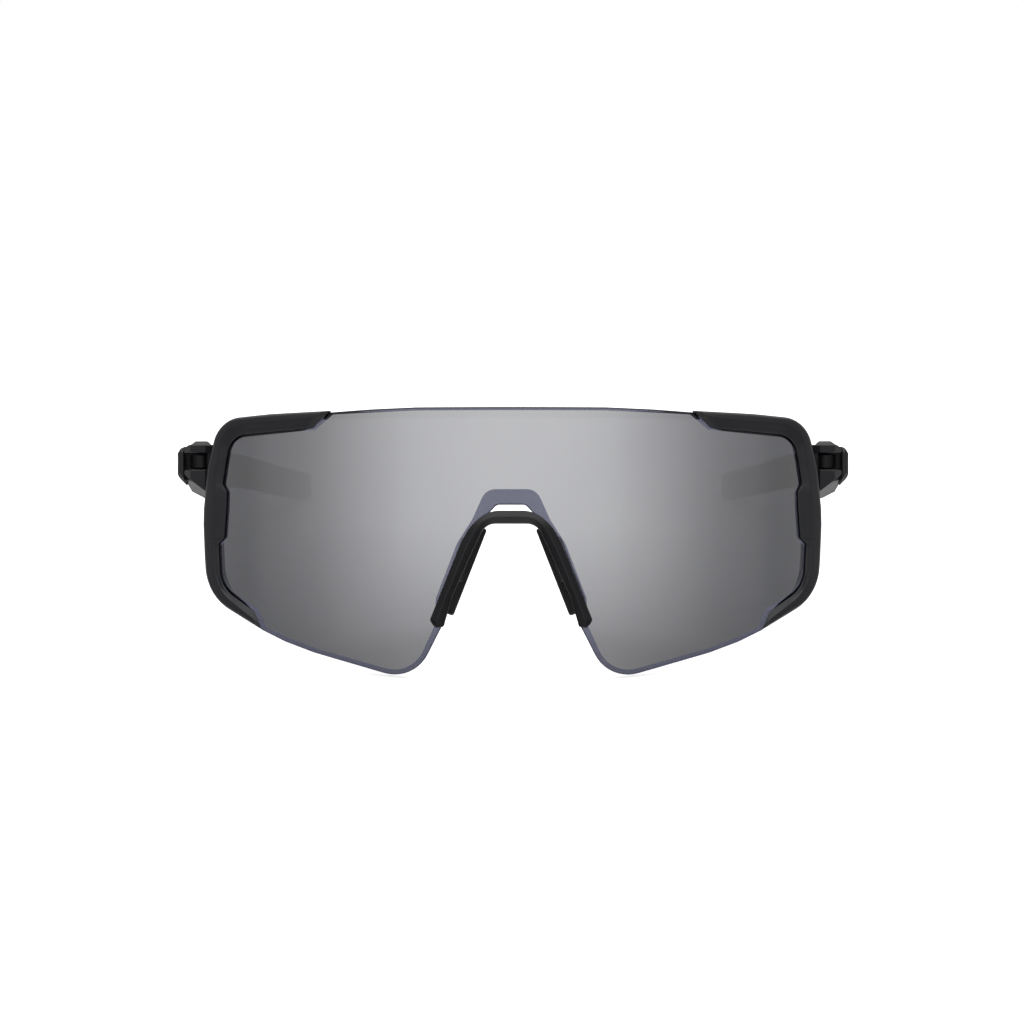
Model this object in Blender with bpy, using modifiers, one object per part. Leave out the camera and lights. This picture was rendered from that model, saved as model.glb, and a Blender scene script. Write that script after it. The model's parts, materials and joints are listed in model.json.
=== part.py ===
"""Wraparound sport sunglasses: a shield lens in a moulded frame, with a clip-on bridge and folding temples.

Lengths are in millimetres in the worn frame: X to the wearer's left, Y from the front of the lens
towards the ears, Z up from the lowest point of the lens. The worn frame is tipped back as a whole,
so that the glasses stand on the two lobes of the lens and on the two temple tips.
"""

import cmath
import math

import bmesh
import bpy
from mathutils import Matrix, Vector

MM = 0.001
GAP = 0.3                        # clearance between touching pieces
WIDE_ARC = 4.0                   # radius from which an arc is cut more finely

# Lens
LENS_RADIUS = 90.0               # horizontal radius of the outer face
CROWN_RADIUS = 400.0             # vertical radius of the outer face
CROWN_HEIGHT = 36.0              # height of the foremost point
LENS_THICKNESS = 2.0
NOSE_TOP = 35.7                  # top of the nose cut-out

# Frame
LIP = 1.6                        # how far the frame stands proud of the lens
FRAME_BACK = -4.6                # back of the side rims, measured from the lens face
BROW_BACK = -5.0
RIM_ROUND = 0.4
HALF_WIDTH = 67.9                # outer edge of the side rim

# Hinge
HINGE_X = 69.5
HINGE_Y = 42.0
HINGE_Z = 45.0                   # middle of the knuckle
FORK_TOP = 49.1
FORK_UPPER = 47.3                # underside of the upper fork arm
FORK_LOWER = 43.6                # top of the lower fork arm
FORK_FOOT = 38.8                 # underside of the lower fork arm where it leaves the rim
FORK_SLOPE = 0.72                # slope of that underside
FORK_SHOULDER = [(69.7, 50.4), (76.0, 50.4), (76.0, 46.5)]   # cut off the upper outer corner; x, z
KNUCKLE_RADIUS = 2.6
SHAFT_RADIUS = 0.7
SCREW_HEAD = (1.6, 40.4, 41.3)   # radius, bottom, top
BUSHING = (1.0, 1.6, 44.2, 46.7)  # inner and outer radius, bottom, top
INSERT = (1.0, 1.4, 47.6, 48.5)
SCREW_END = 48.3

# Temples
ARM_FRONT = 45.3
ARM_END = 108.0
TIP_END = 160.0
ARM_CENTRE = 71.6                # distance of the arm's middle from the mid-plane at the hinge
ARM_SWEEP = 16.1                 # how far the tip comes in towards the head
ARM_BOW = 2.5                    # power of the bow
CORE_RADIUS = 0.8
CORE_START = 94.0
CORE_END = 150.0
BADGE_START = 50.5
BADGE_END = 64.5
BADGE_THICKNESS = 0.8
BADGE_HEIGHTS = (-1.3, 1.4)      # from the arm's middle
CHEEK_INNER = 73.45              # inner face of the cheek that covers the fork
CHEEK_RINGS = [                  # y, outer face, bottom, top
    (39.7, 74.4, 41.6, 48.0), (40.8, 74.85, 41.0, 48.7), (47.0, 75.0, 40.1, 49.0), (56.0, 73.9, 41.0, 47.4),
]
REST_SLOPE = 0.254               # slope of the line from the lens lobes to the temple tips

# Nose
BRIDGE_FRONT = 1.6
BRIDGE_BACK = -4.5
PIN_X = 11.0
PIN_Z = 21.5
PIN_RADIUS = 0.45
PAD_FRONT = 7.5
PAD_BACK = 15.4
PAD_SPLAY = 0.36                 # how far the pad spreads for each millimetre of depth
PAD_OFFSET = (-1.45, 0.15)       # from the pin to the middle of the pad's front edge; x, z
PAD_ALONG = (-0.365, 0.931)
PAD_ACROSS = (0.931, 0.365)
PAD_HALF_LENGTH = 9.9
PAD_HALF_THICKNESS = 1.05
HUB_RADIUS = 1.35                # round the hole for the pin
HUB_DEPTH = 2.9
BOSS = (-1.2, 1.5, 2.0)          # inner side, outer side and half height, from the pin
BOSS_FRONT = 4.2
PIN_FRONT = 4.8
PIN_REACH = 2.3                  # how far the pin goes into the pad

SLICES_ACROSS = [x * 5.5 for x in range(-12, 13)]
SLICES_UP = [z * 8.0 for z in range(1, 8)]

LENS_OUTLINE = [                 # wearer's left half, from the top centre round to the nose; x, z, radius
    (20.0, 56.3, 0), (30.0, 55.95, 0), (39.1, 55.4, 0.8), (40.9, 53.7, 0.8), (52.5, 53.3, 0),
    (63.4, 52.6, 7.0), (65.6, 43.0, 8.0), (65.9, 31.5, 0), (65.6, 24.0, 0), (65.0, 17.3, 9.0),
    (56.4, 12.2, 1.0), (54.2, 8.75, 1.0), (48.7, 6.3, 0), (42.2, 4.1, 0), (34.2, 2.0, 0),
    (20.6, -1.65, 8.0), (14.5, 10.3, 2.0), (13.7, 15.5, 3.0), (9.4, 26.8, 3.0), (6.5, 32.0, 2.5),
    (3.0, NOSE_TOP, 1.2),
]
RIM_OUTLINE = [                  # left side rim with its upper and lower arm ends
    (38.7, 55.75, 0.6), (52.0, 55.3, 0), (64.2, 54.4, 7.0), (66.9, 43.4, 10.0), (67.8, 35.0, 0),
    (HALF_WIDTH, 31.5, 0), (67.6, 24.5, 0), (67.0, 15.9, 11.0), (54.0, 8.8, 0.6), (55.6, 12.6, 0.7),
    (63.7, 17.8, 7.0), (64.2, 27.2, 0.5), (62.8, 28.6, 0.6), (62.3, 35.0, 0), (62.2, 38.6, 0.6),
    (63.2, 40.2, 0.6), (62.4, 45.2, 0), (61.2, 50.8, 4.5), (42.3, 52.2, 0.6),
]
BROW_OUTLINE = [
    (-2.0, 55.55, 0), (20.0, 55.5, 0), (30.0, 55.45, 0), (37.0, 55.4, 0), (44.0, 55.2, 0),
    (44.0, 53.9, 0), (30.0, 54.1, 0), (-2.0, 54.15, 0),
]
BRIDGE_OUTLINE = [               # left half of the saddle band
    (0.0, 34.5, 0), (4.7, 34.5, 7.0), (8.8, 31.3, 11.0), (10.8, 27.0, 15.0), (17.1, 11.6, 1.2),
    (15.8, 9.8, 0.8), (14.3, 10.0, 0.6), (12.5, 16.1, 3.0), (8.15, 26.0, 3.0), (5.4, 31.7, 3.4),
    (0.0, 31.7, 0),
]
FORK_OUTLINE = [                 # one fork arm of the left hinge in plan; x, y, radius
    (66.2, 34.6, 0), (67.8, 32.6, 0), (71.2, 34.6, 2.0), (73.1, 38.2, 2.0), (73.1, 43.6, 1.6),
    (71.4, 45.0, 1.2), (66.5, 45.0, 2.6), (66.5, 38.2, 0), (62.4, 38.2, 1.0), (62.4, 32.2, 0),
]
ROOT_HEIGHTS = (40.0, 48.2)
ROOT_OUTLINE = [                 # the root that joins the two fork arms to the rim
    (62.4, 30.6, 0), (67.6, 35.4, 0), (66.5, 38.2, 0), (62.4, 38.2, 1.0),
]
NECK_OUTLINE = [                 # the knuckle of the temple and its neck in plan
    (66.9, 39.4, 2.59), (72.1, 39.4, 2.59), (72.1, 48.0, 0), (69.2, 48.0, 0), (66.9, 44.6, 0.8),
]
ARM_SECTION = [                  # across (outwards) and up, each from -1 to 1
    (0.03, 1.0), (0.74, 0.69), (1.0, 0.34), (1.0, -0.31), (0.51, -0.75), (-0.55, -1.0),
    (-1.0, -0.85), (-1.0, 0.86), (-0.74, 1.0),
]
PAD_SECTION = [                  # along and across the pad
    (-1.0, 0.4), (-0.96, 1.0), (0.96, 1.0), (1.0, 0.4),
    (1.0, -0.4), (0.96, -1.0), (-0.96, -1.0), (-1.0, -0.4),
]

FINISHES = {                     # colour, roughness, metallic
    "satin_black": ((0.030, 0.031, 0.034), 0.42, 0.0),
    "mirror_lens": ((0.30, 0.30, 0.33), 0.06, 0.85),
    "soft_rubber": ((0.016, 0.016, 0.017), 0.75, 0.0),
    "bright_steel": ((0.62, 0.62, 0.64), 0.25, 1.0),
    "brass": ((0.68, 0.50, 0.22), 0.32, 1.0),
    "acetal": ((0.55, 0.55, 0.52), 0.50, 0.0),
    "grey_badge": ((0.26, 0.27, 0.28), 0.35, 0.0),
}


def clear_scene():
    for obj in list(bpy.data.objects):
        bpy.data.objects.remove(obj, do_unlink=True)


def new_collection(name):
    collection = bpy.data.collections.new(name)
    bpy.context.scene.collection.children.link(collection)
    return collection


def finish_material(name):
    """The Principled material of one finish, made once."""
    material = bpy.data.materials.get(name)
    if material:
        return material
    colour, roughness, metallic = FINISHES[name]
    material = bpy.data.materials.new(name)
    material.use_nodes = True
    shader = material.node_tree.nodes["Principled BSDF"]
    shader.inputs["Base Color"].default_value = (*colour, 1.0)
    shader.inputs["Roughness"].default_value = roughness
    shader.inputs["Metallic"].default_value = metallic
    material.diffuse_color = (*colour, 1.0)
    return material


# --- outlines -------------------------------------------------------------------------------------

def rounded(corners, steps=4):
    """The closed outline through these corners, each rounded by its own radius."""
    outline = []
    for index, (x, y, radius) in enumerate(corners):
        corner = complex(x, y)
        if radius == 0:
            outline.append((x, y))
            continue
        before = complex(*corners[index - 1][:2]) - corner
        after = complex(*corners[(index + 1) % len(corners)][:2]) - corner
        before /= abs(before)
        after /= abs(after)
        half = abs(cmath.phase(after / before)) / 2
        middle = before + after
        centre = corner + middle / abs(middle) * radius / math.sin(half)
        start = corner + before * radius / math.tan(half) - centre
        end = corner + after * radius / math.tan(half) - centre
        turn = cmath.phase(end / start)
        count = 2 * steps if radius > WIDE_ARC else steps
        for step in range(count + 1):
            point = centre + start * cmath.exp(1j * turn * step / count)
            outline.append((point.real, point.imag))
    return outline


def both_sides(corners):
    """A symmetric outline from its left half, which runs from the top down."""
    other = [(-x, z, radius) for x, z, radius in reversed(corners) if x != 0]
    return corners + other


# --- solids ---------------------------------------------------------------------------------------

def mesh_of(obj):
    """The evaluated mesh of an object, with its loose caps welded. The object is removed."""
    graph = bpy.context.evaluated_depsgraph_get()
    mesh = bpy.data.meshes.new_from_object(obj.evaluated_get(graph))
    mesh.transform(obj.matrix_world)
    bpy.data.objects.remove(obj, do_unlink=True)
    edit = bmesh.new()
    edit.from_mesh(mesh)
    bmesh.ops.remove_doubles(edit, verts=edit.verts, dist=0.000002)
    bmesh.ops.dissolve_limit(edit, angle_limit=0.001, verts=edit.verts, edges=edit.edges)
    bmesh.ops.recalc_face_normals(edit, faces=edit.faces)
    edit.to_mesh(mesh)
    edit.free()
    return mesh


def scene_object(name, data):
    obj = bpy.data.objects.new(name, data)
    workshop.objects.link(obj)
    return obj


def plate(outline, low, high, rim=0.0, grow=0.0):
    """A flat plate over an outline, from height low to high, its edges rounded by rim."""
    curve = bpy.data.curves.new("plate", "CURVE")
    curve.dimensions = "2D"
    curve.fill_mode = "BOTH"
    curve.extrude = ((high - low) / 2 - rim) * MM
    curve.bevel_depth = rim * MM
    curve.bevel_resolution = 0
    curve.offset = (grow - rim) * MM
    spline = curve.splines.new("POLY")
    spline.points.add(len(outline) - 1)
    for point, (x, y) in zip(spline.points, outline):
        point.co = (x * MM, y * MM, 0, 1)
    spline.use_cyclic_u = True
    obj = scene_object("plate", curve)
    obj.location.z = (low + high) / 2 * MM
    bpy.context.view_layer.update()
    return mesh_of(obj)


def cylinder(radius, low, high, x, y, segments=24):
    edit = bmesh.new()
    place = Matrix.Translation(Vector((x, y, (low + high) / 2)) * MM)
    bmesh.ops.create_cone(edit, cap_ends=True, segments=segments, radius1=radius * MM,
                          radius2=radius * MM, depth=(high - low) * MM, matrix=place)
    mesh = bpy.data.meshes.new("cylinder")
    edit.to_mesh(mesh)
    edit.free()
    return mesh


def block(low, high):
    """A box between two opposite corners."""
    edit = bmesh.new()
    size = [h - l for l, h in zip(low, high)]
    middle = Vector([(l + h) / 2 for l, h in zip(low, high)]) * MM
    bmesh.ops.create_cube(edit, size=MM, matrix=Matrix.Translation(middle) @ Matrix.Diagonal((*size, 1)))
    mesh = bpy.data.meshes.new("block")
    edit.to_mesh(mesh)
    edit.free()
    return mesh


def loft(rings):
    """A closed body through rings of equally many points."""
    edit = bmesh.new()
    loops = [[edit.verts.new(Vector(point) * MM) for point in ring] for ring in rings]
    for near, far in zip(loops, loops[1:]):
        for index in range(len(near)):
            edit.faces.new((near[index - 1], near[index], far[index], far[index - 1]))
    edit.faces.new(loops[0])
    edit.faces.new(loops[-1])
    bmesh.ops.recalc_face_normals(edit, faces=edit.faces)
    mesh = bpy.data.meshes.new("loft")
    edit.to_mesh(mesh)
    edit.free()
    return mesh


def tube(points, radius):
    """A round bar along a path, as a mesh."""
    curve = bpy.data.curves.new("tube", "CURVE")
    curve.dimensions = "3D"
    curve.bevel_depth = radius * MM
    curve.bevel_resolution = 2
    curve.use_fill_caps = True
    spline = curve.splines.new("POLY")
    spline.points.add(len(points) - 1)
    for target, point in zip(spline.points, points):
        target.co = (*(Vector(point) * MM), 1)
    return mesh_of(scene_object("tube", curve))


def turned(profile, closed, steps=24):
    """A turned piece about Z from a profile of radius and height, which runs down its outer side."""
    mesh = bpy.data.meshes.new("profile")
    ends = [(index, index + 1) for index in range(len(profile) - 1)]
    if closed:
        ends.append((len(profile) - 1, 0))
    mesh.from_pydata([(radius * MM, 0, z * MM) for radius, z in profile], ends, [])
    obj = scene_object("turned", mesh)
    screw = obj.modifiers.new("screw", "SCREW")
    screw.steps = steps
    screw.render_steps = steps
    screw.use_merge_vertices = True
    screw.merge_threshold = 0.00001
    bpy.context.view_layer.update()
    return mesh_of(obj)


def combined(mesh, others, operation):
    """The mesh after a Boolean with each of the others."""
    obj = scene_object("base", mesh)
    tools = []
    for other in others:
        tool = scene_object("tool", other)
        tool.hide_render = True
        tool.display_type = "WIRE"
        boolean = obj.modifiers.new("boolean", "BOOLEAN")
        boolean.operation = operation
        boolean.object = tool
        tools.append(tool)
    bpy.context.view_layer.update()
    result = mesh_of(obj)
    for tool in tools:
        bpy.data.objects.remove(tool, do_unlink=True)
    return result


def mirrored(mesh):
    """A copy of the mesh on the other side of the mid-plane."""
    copy = mesh.copy()
    copy.transform(Matrix.Diagonal((-1, 1, 1, 1)))
    copy.flip_normals()
    return copy


# --- the curved lens surface ----------------------------------------------------------------------

def lens_depth(x, z):
    """Depth of the lens's outer face behind its foremost point."""
    return LENS_RADIUS - math.sqrt(LENS_RADIUS ** 2 - x * x) + (z - CROWN_HEIGHT) ** 2 / (2 * CROWN_RADIUS)


def on_lens(x, z, out):
    """The point that stands out by this much from the lens face, at x and z in the front view."""
    slant = math.sqrt(1 - (x / LENS_RADIUS) ** 2)
    return (x, lens_depth(x, z) - out / slant, z)


def wrapped(mesh):
    """A flat plate laid in X and Y, with its thickness along Z, bent onto the lens surface."""
    edit = bmesh.new()
    edit.from_mesh(mesh)
    cuts = [((x, 0, 0), (1, 0, 0)) for x in SLICES_ACROSS] + [((0, z, 0), (0, 1, 0)) for z in SLICES_UP]
    for place, normal in cuts:
        every = edit.verts[:] + edit.edges[:] + edit.faces[:]
        bmesh.ops.bisect_plane(edit, geom=every, dist=0.0000005, plane_co=Vector(place) * MM, plane_no=normal)
    bmesh.ops.triangulate(edit, faces=edit.faces)
    for vertex in edit.verts:
        x, z, out = vertex.co / MM
        vertex.co = Vector(on_lens(x, z, out)) * MM
    bmesh.ops.recalc_face_normals(edit, faces=edit.faces)
    edit.to_mesh(mesh)
    edit.free()
    return mesh


# --- the temple's shape ---------------------------------------------------------------------------

def blend(value, start, end):
    """0 before start, 1 after end, and a smooth step between."""
    part = min(max((value - start) / (end - start), 0.0), 1.0)
    return part * part * (3 - 2 * part)


def arm_middle(y):
    return ARM_CENTRE - ARM_SWEEP * max((y - ARM_FRONT) / (TIP_END - ARM_FRONT), 0) ** ARM_BOW


def arm_half_thickness(y):
    return 3.5 - 1.5 * blend(y, 47, 64) + 0.4 * blend(y, 104, 125)


def taper(y, end):
    """How much of the front taper is left, from 1 at the arm's front to 0 at its end."""
    return max(0.0, (end - y) / (end - ARM_FRONT))


def arm_top(y):
    return 50.2 - 0.8 * taper(y, 49) - 1.9 * blend(y, 50, 76) - 4.3 * blend(y, 96, 172)


def arm_bottom(y):
    return 37.2 + 3.2 * taper(y, 54) + 2.8 * blend(y, 54, 76) - 3.2 * blend(y, 100, 172)


def arm_ring(y, inset=0.0):
    """The temple's outline across, at this distance back."""
    middle = (arm_top(y) + arm_bottom(y)) / 2
    half_height = (arm_top(y) - arm_bottom(y)) / 2 - inset
    half_width = arm_half_thickness(y) - inset
    return [(arm_middle(y) + across * half_width, y, middle + up * half_height) for across, up in ARM_SECTION]


def arm_axis(y):
    return (arm_middle(y), y, (arm_top(y) + arm_bottom(y)) / 2)


def between(start, end, count):
    return [start + (end - start) * index / count for index in range(count + 1)]


# --- pieces ---------------------------------------------------------------------------------------

def make_lens():
    outline = rounded(both_sides(LENS_OUTLINE))
    return wrapped(plate(outline, -LENS_THICKNESS, 0))


def lens_foot():
    """The point of the lens's rear edge that comes lowest when the glasses stand."""
    edge = [on_lens(x, z, -LENS_THICKNESS) for x, z in rounded(both_sides(LENS_OUTLINE))]
    return min(edge, key=lambda point: point[2] - REST_SLOPE * point[1])


def lens_room():
    """The space that the lens needs in the pieces which hold it."""
    return plate(rounded(both_sides(LENS_OUTLINE)), -LENS_THICKNESS - GAP, GAP, grow=GAP)


def fork_arm(low, high, slope):
    mesh = plate(rounded(FORK_OUTLINE), low, high)
    for vertex in mesh.vertices:
        if vertex.co.z < (low + 0.1) * MM:
            vertex.co.z += (vertex.co.x - HALF_WIDTH * MM) * slope
    return mesh


def make_frame_half():
    """The left side rim, half of the brow bar, and the left hinge fork."""
    rim = plate(rounded(RIM_OUTLINE), FRAME_BACK, LIP, rim=RIM_ROUND)
    brow = plate(rounded(BROW_OUTLINE), BROW_BACK, -LENS_THICKNESS - GAP)
    flat = combined(rim, [brow], "UNION")
    flat = combined(flat, [lens_room()], "DIFFERENCE")
    shoulder = loft([[(x, y, z) for x, z in FORK_SHOULDER] for y in (30.0, 50.0)])
    upper = combined(fork_arm(FORK_UPPER, FORK_TOP, 0), [shoulder], "DIFFERENCE")
    arms = [upper, fork_arm(FORK_FOOT, FORK_LOWER, FORK_SLOPE)]
    root = plate(rounded(ROOT_OUTLINE), *ROOT_HEIGHTS)
    frame = combined(wrapped(flat), [*arms, root], "UNION")
    bores = [
        cylinder(SHAFT_RADIUS + GAP, FORK_FOOT - 1, FORK_UPPER + 1, HINGE_X, HINGE_Y),
        cylinder(SCREW_HEAD[0] + GAP, FORK_FOOT - 2, SCREW_HEAD[2] + GAP, HINGE_X, HINGE_Y),
        cylinder(INSERT[1] + GAP, FORK_UPPER - 1, INSERT[3] + 0.1, HINGE_X, HINGE_Y),
    ]
    return combined(frame, bores, "DIFFERENCE")


def make_bridge_half():
    """Half of the clip-on saddle, with the boss of the left nose pad's pin."""
    band = plate(rounded(both_sides(BRIDGE_OUTLINE)), BRIDGE_BACK, BRIDGE_FRONT, rim=RIM_ROUND)
    band = combined(band, [lens_room()], "DIFFERENCE")
    band = wrapped(band)
    inner, outer, half = BOSS
    boss = block((PIN_X + inner, BOSS_FRONT, PIN_Z - half), (PIN_X + outer, PAD_FRONT - 0.5, PIN_Z + half))
    band = combined(band, [boss], "UNION")
    hole = tube([(PIN_X, PIN_FRONT - GAP, PIN_Z), (PIN_X, PAD_FRONT, PIN_Z)], PIN_RADIUS + GAP)
    return combined(band, [hole], "DIFFERENCE")


def pad_ring(y):
    """One slat-shaped cross-section of the left nose pad."""
    depth = y - PAD_FRONT
    edge = 0.75 if y in (PAD_FRONT, PAD_BACK) else 1.0
    centre = Vector((PIN_X + PAD_OFFSET[0] + depth * PAD_SPLAY, PIN_Z + PAD_OFFSET[1]))
    along = Vector(PAD_ALONG) * (PAD_HALF_LENGTH - 0.05 * depth * depth) * edge
    across = Vector(PAD_ACROSS) * PAD_HALF_THICKNESS * edge
    ring = []
    for up, side in PAD_SECTION:
        point = centre + along * up + across * side
        ring.append((point.x, y, point.y))
    return ring


def make_pad():
    steps = [PAD_FRONT, PAD_FRONT + 0.7, *between(PAD_FRONT + 2, PAD_BACK - 2, 2), PAD_BACK - 0.6, PAD_BACK]
    pad = loft([pad_ring(y) for y in steps])
    hub = tube([(PIN_X, PAD_FRONT, PIN_Z), (PIN_X, PAD_FRONT + HUB_DEPTH, PIN_Z)], HUB_RADIUS)
    pad = combined(pad, [hub], "UNION")
    bottom = PAD_FRONT + PIN_REACH + GAP
    hole = tube([(PIN_X, PAD_FRONT - 1, PIN_Z), (PIN_X, bottom, PIN_Z)], PIN_RADIUS + GAP)
    return combined(pad, [hole], "DIFFERENCE")


def make_pad_pin():
    return tube([(PIN_X, PIN_FRONT, PIN_Z), (PIN_X, PAD_FRONT + PIN_REACH, PIN_Z)], PIN_RADIUS)


def make_temple_arm():
    """The left temple up to its rubber tip, with its hinge knuckle and the cheek that covers the fork."""
    arm = loft([arm_ring(y) for y in [ARM_FRONT, 47, 49, 51.5, *between(54, ARM_END, 14)]])
    neck = plate(rounded(NECK_OUTLINE), FORK_LOWER + GAP, FORK_UPPER - GAP)
    cheek = loft([
        [(CHEEK_INNER, y, top), ((CHEEK_INNER + out) / 2, y, top - 0.3), (out, y, top - 1.4),
         (out, y, low + 1.6), (CHEEK_INNER, y, low)]
        for y, out, low, top in CHEEK_RINGS
    ])
    arm = combined(arm, [neck, cheek], "UNION")
    recess = badge_body(BADGE_START - GAP, BADGE_END + GAP, BADGE_THICKNESS + GAP, -1.0, GAP)
    core = tube([arm_axis(y) for y in between(CORE_START - GAP, ARM_END + 2, 6)], CORE_RADIUS + GAP)
    shaft = cylinder(BUSHING[1] + GAP, FORK_LOWER - 1, FORK_UPPER + 1, HINGE_X, HINGE_Y)
    return combined(arm, [recess, core, shaft], "DIFFERENCE")


def badge_body(start, end, depth, top, grow):
    """A thin plate let into the outer side of the temple."""
    rings = []
    for y in between(start, end, 6):
        outer = arm_middle(y) + arm_half_thickness(y)
        inner = outer - depth
        middle = (arm_top(y) + arm_bottom(y)) / 2
        low = middle + BADGE_HEIGHTS[0] - grow
        high = middle + BADGE_HEIGHTS[1] + grow
        rings.append([(inner, y, low), (outer - top, y, low), (outer - top, y, high), (inner, y, high)])
    return loft(rings)


def make_badge():
    return badge_body(BADGE_START, BADGE_END, BADGE_THICKNESS, 0.05, 0.0)


def make_grip():
    """The rubber tip of the left temple, with a flat under its end to stand on."""
    steps = [ARM_END + GAP, *between(112, 154, 9), 157.5, 159.3, TIP_END]
    insets = {157.5: 0.35, 159.3: 1.0, TIP_END: 1.8}
    grip = loft([arm_ring(y, insets.get(y, 0)) for y in steps])
    core = tube([arm_axis(y) for y in between(ARM_END - 2, CORE_END + GAP, 14)], CORE_RADIUS + GAP)
    grip = combined(grip, [core], "DIFFERENCE")
    edit = bmesh.new()
    edit.from_mesh(grip)
    every = edit.verts[:] + edit.edges[:] + edit.faces[:]
    cut = bmesh.ops.bisect_plane(edit, geom=every, plane_co=Vector(lens_foot()) * MM,
                                 plane_no=(0, REST_SLOPE, -1), clear_outer=True)
    rim = [item for item in cut["geom_cut"] if isinstance(item, bmesh.types.BMEdge)]
    bmesh.ops.edgenet_fill(edit, edges=rim)
    bmesh.ops.recalc_face_normals(edit, faces=edit.faces)
    edit.to_mesh(grip)
    edit.free()
    return grip


def make_core():
    return tube([arm_axis(y) for y in between(CORE_START, CORE_END, 18)], CORE_RADIUS)


def make_screw():
    radius, bottom, top = SCREW_HEAD
    profile = [(0, SCREW_END), (SHAFT_RADIUS, SCREW_END), (SHAFT_RADIUS, top), (radius, top),
               (radius, bottom + 0.3), (radius - 0.3, bottom), (0, bottom)]
    return turned(profile, closed=False)


def make_ring(inner, outer, bottom, top):
    return turned([(inner, top), (outer, top), (outer, bottom), (inner, bottom)], closed=True)


# --- assembly -------------------------------------------------------------------------------------

def empty(name, parent, place):
    obj = bpy.data.objects.new(name, None)
    glasses.objects.link(obj)
    obj.parent = parent
    obj.location = Vector(place) * MM
    return obj


def place(name, mesh, finish, parent, origin, smooth=True):
    """Puts a piece into the assembly. Its mesh is in worn coordinates, and its origin goes to this point."""
    mesh.transform(Matrix.Translation(-Vector(origin) * MM))
    mesh.name = name
    mesh.materials.clear()
    mesh.materials.append(finish_material(finish))
    if smooth:
        mesh.shade_smooth()
        mesh.set_sharp_from_angle(angle=math.radians(32))
    obj = bpy.data.objects.new(name, mesh)
    glasses.objects.link(obj)
    obj.parent = parent
    if parent is worn:
        obj.location = Vector(origin) * MM
    return obj


def mirror_whole(obj):
    """Completes a half that ends at the mid-plane."""
    mirror = obj.modifiers.new("mirror", "MIRROR")
    mirror.use_axis = (True, False, False)
    mirror.use_bisect_axis = (True, False, False)
    mirror.merge_threshold = 0.00001
    mirror.bisect_threshold = 0.000001


def place_centre_pieces():
    frame = place("frame", make_frame_half(), "satin_black", worn, (0, 0, 0))
    mirror_whole(frame)
    place("lens", make_lens(), "mirror_lens", worn, (0, 0, 0))
    bridge = place("nose_bridge", make_bridge_half(), "satin_black", worn, (0, 0, 0))
    mirror_whole(bridge)


def place_side(side, sign):
    """The pieces of one side. They are shaped for the wearer's left and mirrored for the right."""
    def piece(name, mesh, finish, parent, origin, turn=mirrored if sign < 0 else (lambda mesh: mesh)):
        x, y, z = origin
        return place(f"{side}_{name}", turn(mesh), finish, parent, (sign * x, y, z))

    hinge_point = (HINGE_X, HINGE_Y, HINGE_Z)
    pad_point = (PIN_X, PAD_FRONT, PIN_Z)
    hinge = empty(f"{side}_hinge_axis", worn, (sign * HINGE_X, HINGE_Y, HINGE_Z))
    pivot = empty(f"{side}_pad_axis", worn, (sign * PIN_X, PAD_FRONT, PIN_Z))
    piece("temple_arm", make_temple_arm(), "satin_black", hinge, hinge_point)
    piece("temple_badge", make_badge(), "grey_badge", hinge, hinge_point)
    piece("temple_grip", make_grip(), "soft_rubber", hinge, hinge_point)
    piece("temple_core_wire", make_core(), "bright_steel", hinge, hinge_point)
    piece("nose_pad", make_pad(), "soft_rubber", pivot, pad_point)
    piece("pad_pivot_pin", make_pad_pin(), "bright_steel", worn, pad_point)

    axis = Matrix.Translation(Vector((HINGE_X, HINGE_Y, 0)) * MM)
    turned_pieces = [
        ("hinge_screw", make_screw(), "bright_steel", worn),
        ("hinge_bushing", make_ring(*BUSHING), "acetal", hinge),
        ("hinge_insert", make_ring(*INSERT), "brass", worn),
    ]
    for name, mesh, finish, parent in turned_pieces:
        mesh.transform(axis)
        piece(name, mesh, finish, parent, hinge_point)


def stand_on_origin():
    """Tips the assembly onto its feet, and puts the middle of its footprint at the origin."""
    worn.rotation_euler.x = -math.atan(REST_SLOPE)
    bpy.context.view_layer.update()
    graph = bpy.context.evaluated_depsgraph_get()
    points = []
    for obj in glasses.objects:
        if obj.type == "MESH":
            shaped = obj.evaluated_get(graph)
            points += [shaped.matrix_world @ vertex.co for vertex in shaped.data.vertices]
    lowest = min(point.z for point in points)
    front = min(point.y for point in points)
    back = max(point.y for point in points)
    worn.location = (0, -(front + back) / 2, -lowest)
    bpy.context.view_layer.update()


clear_scene()
glasses = new_collection("sport_sunglasses")
workshop = new_collection("cutters")
worn = empty("worn_frame", None, (0, 0, 0))
place_centre_pieces()
place_side("left", 1)
place_side("right", -1)
stand_on_origin()
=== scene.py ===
"""Wraparound sport sunglasses: the looks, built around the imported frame.

Shapes are written in the worn frame, in millimetres: X to the wearer's left, Y from the front of the lens
towards the ears, Z up. The pieces that follow the lens are first laid flat, as x, z and height above the lens
face, and are then bent onto it together with their surface normals.
"""

import cmath
import json
import math

import bmesh
import bpy
import numpy as np
from mathutils import Matrix, Vector


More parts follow.
